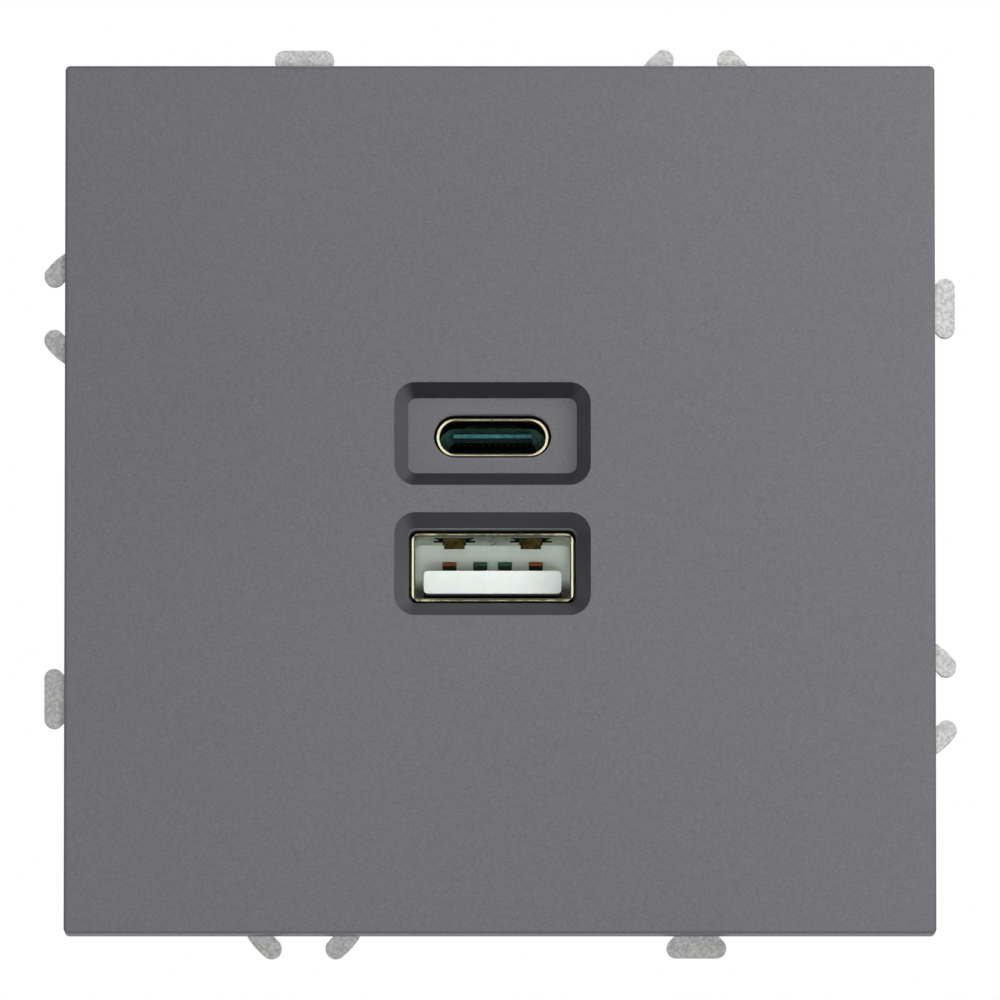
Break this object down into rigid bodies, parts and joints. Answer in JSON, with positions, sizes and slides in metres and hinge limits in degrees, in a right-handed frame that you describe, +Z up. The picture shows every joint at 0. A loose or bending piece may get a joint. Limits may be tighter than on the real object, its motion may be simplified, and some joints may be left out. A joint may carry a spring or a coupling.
{
  "type": "usb wall socket",
  "caption": "Flush-mounted square wall socket with a round-ended and a rectangular charging port, a stamped mounting frame, fixing claws and screw terminals.",
  "frame": {"origin": "centre between the two box screw holes, on the wall plane at the back of the mounting frame", "axes": "+X right and +Z up as seen from the front, +Y into the wall; the cover faces -Y"},
  "size_m": [0.0736, 0.0355, 0.0736],
  "materials": {
    "cover_abs": "fine grained, satin",
    "frame_steel": "zinc plated, dull",
    "case_polycarbonate": "moulded, matt",
    "shell_steel": "nickel plated",
    "port_plastic_white": "moulded, satin",
    "port_plastic_black": "moulded, satin",
    "contact_gold": "plated",
    "circuit_board": "solder resist",
    "spacer_nylon": "moulded",
    "terminal_brass": "stamped",
    "cage_steel": "zinc plated",
    "screw_steel": "zinc plated",
    "claw_steel": "zinc plated",
    "rivet_aluminium": "drawn",
    "core_ferrite": "sintered",
    "winding_tape": "taped",
    "capacitor_can": "sleeved",
    "capacitor_box": "moulded",
    "choke_ferrite": "sintered",
    "fuse_body": "moulded",
    "chip_epoxy": "moulded",
    "pin_brass": "plated"
  },
  "bodies": {
    "base": {"mounting_frame": "frame_steel", "front_housing": "case_polycarbonate", "rear_housing": "case_polycarbonate", "usb_a_shell": "shell_steel", "usb_a_insulator": "port_plastic_white", "usb_a_contacts": "contact_gold", "usb_c_shell": "shell_steel", "usb_c_insulator": "port_plastic_black", "usb_c_contacts": "contact_gold", "port_board": "circuit_board", "power_board": "circuit_board", "board_spacers": "spacer_nylon", "live_bar": "terminal_brass", "neutral_bar": "terminal_brass", "claw_pins": "screw_steel", "housing_screws": "screw_steel", "frame_rivets": "rivet_aluminium", "transformer_core": "core_ferrite", "transformer_winding": "winding_tape", "mains_capacitor": "capacitor_can", "output_capacitors": "capacitor_can", "suppression_capacitor": "capacitor_box", "choke": "choke_ferrite", "fuse": "fuse_body", "bridge_rectifier": "chip_epoxy", "control_chips": "chip_epoxy", "link_pins": "pin_brass"},
    "cover": {"cover_plate": "cover_abs"},
    "left claw": {"left_claw": "claw_steel"},
    "right claw": {"right_claw": "claw_steel"},
    "left claw screw": {"left_claw_screw": "screw_steel"},
    "right claw screw": {"right_claw_screw": "screw_steel"},
    "live cage": {"live_cage": "cage_steel"},
    "neutral cage": {"neutral_cage": "cage_steel"},
    "live screw": {"live_screw": "screw_steel"},
    "neutral screw": {"neutral_screw": "screw_steel"}
  },
  "joints": [
    {"name": "cover_pull", "type": "slide", "parent": "base", "child": "cover", "axis": [0, -1, 0], "range_m": [0, 0.02]},
    {"name": "left_claw_screw_turn", "type": "hinge", "parent": "base", "child": "left claw screw", "pos_m": [-0.0243, 0, 0], "axis": [0, 1, 0], "range_deg": [0, 622]},
    {"name": "left_claw_swing", "type": "hinge", "parent": "base", "child": "left claw", "pos_m": [-0.0216, 0.005, 0], "axis": [0, 0, 1], "range_deg": [0, 22]},
    {"name": "right_claw_screw_turn", "type": "hinge", "parent": "base", "child": "right claw screw", "pos_m": [0.0243, 0, 0], "axis": [0, 1, 0], "range_deg": [0, 622]},
    {"name": "right_claw_swing", "type": "hinge", "parent": "base", "child": "right claw", "pos_m": [0.0216, 0.005, 0], "axis": [0, 0, -1], "range_deg": [0, 22]},
    {"name": "live_screw_turn", "type": "hinge", "parent": "base", "child": "live screw", "pos_m": [0.0075, 0.0256, -0.018], "axis": [0, 0, 1], "range_deg": [0, 1560.1]},
    {"name": "live_cage_lift", "type": "slide", "parent": "base", "child": "live cage", "axis": [0, 0, -1], "range_m": [0, 0.0026]},
    {"name": "neutral_screw_turn", "type": "hinge", "parent": "base", "child": "neutral screw", "pos_m": [-0.0075, 0.0256, -0.018], "axis": [0, 0, 1], "range_deg": [0, 1560.1]},
    {"name": "neutral_cage_lift", "type": "slide", "parent": "base", "child": "neutral cage", "axis": [0, 0, -1], "range_m": [0, 0.0026]}
  ],
  "couplings": [
    {"joint": "left_claw_screw_turn", "follows": "left_claw_swing", "ratio": 28.27},
    {"joint": "right_claw_screw_turn", "follows": "right_claw_swing", "ratio": 28.27},
    {"joint": "live_screw_turn", "follows": "live_cage_lift", "rad_per_m": 10472},
    {"joint": "neutral_screw_turn", "follows": "neutral_cage_lift", "rad_per_m": 10472}
  ]
}
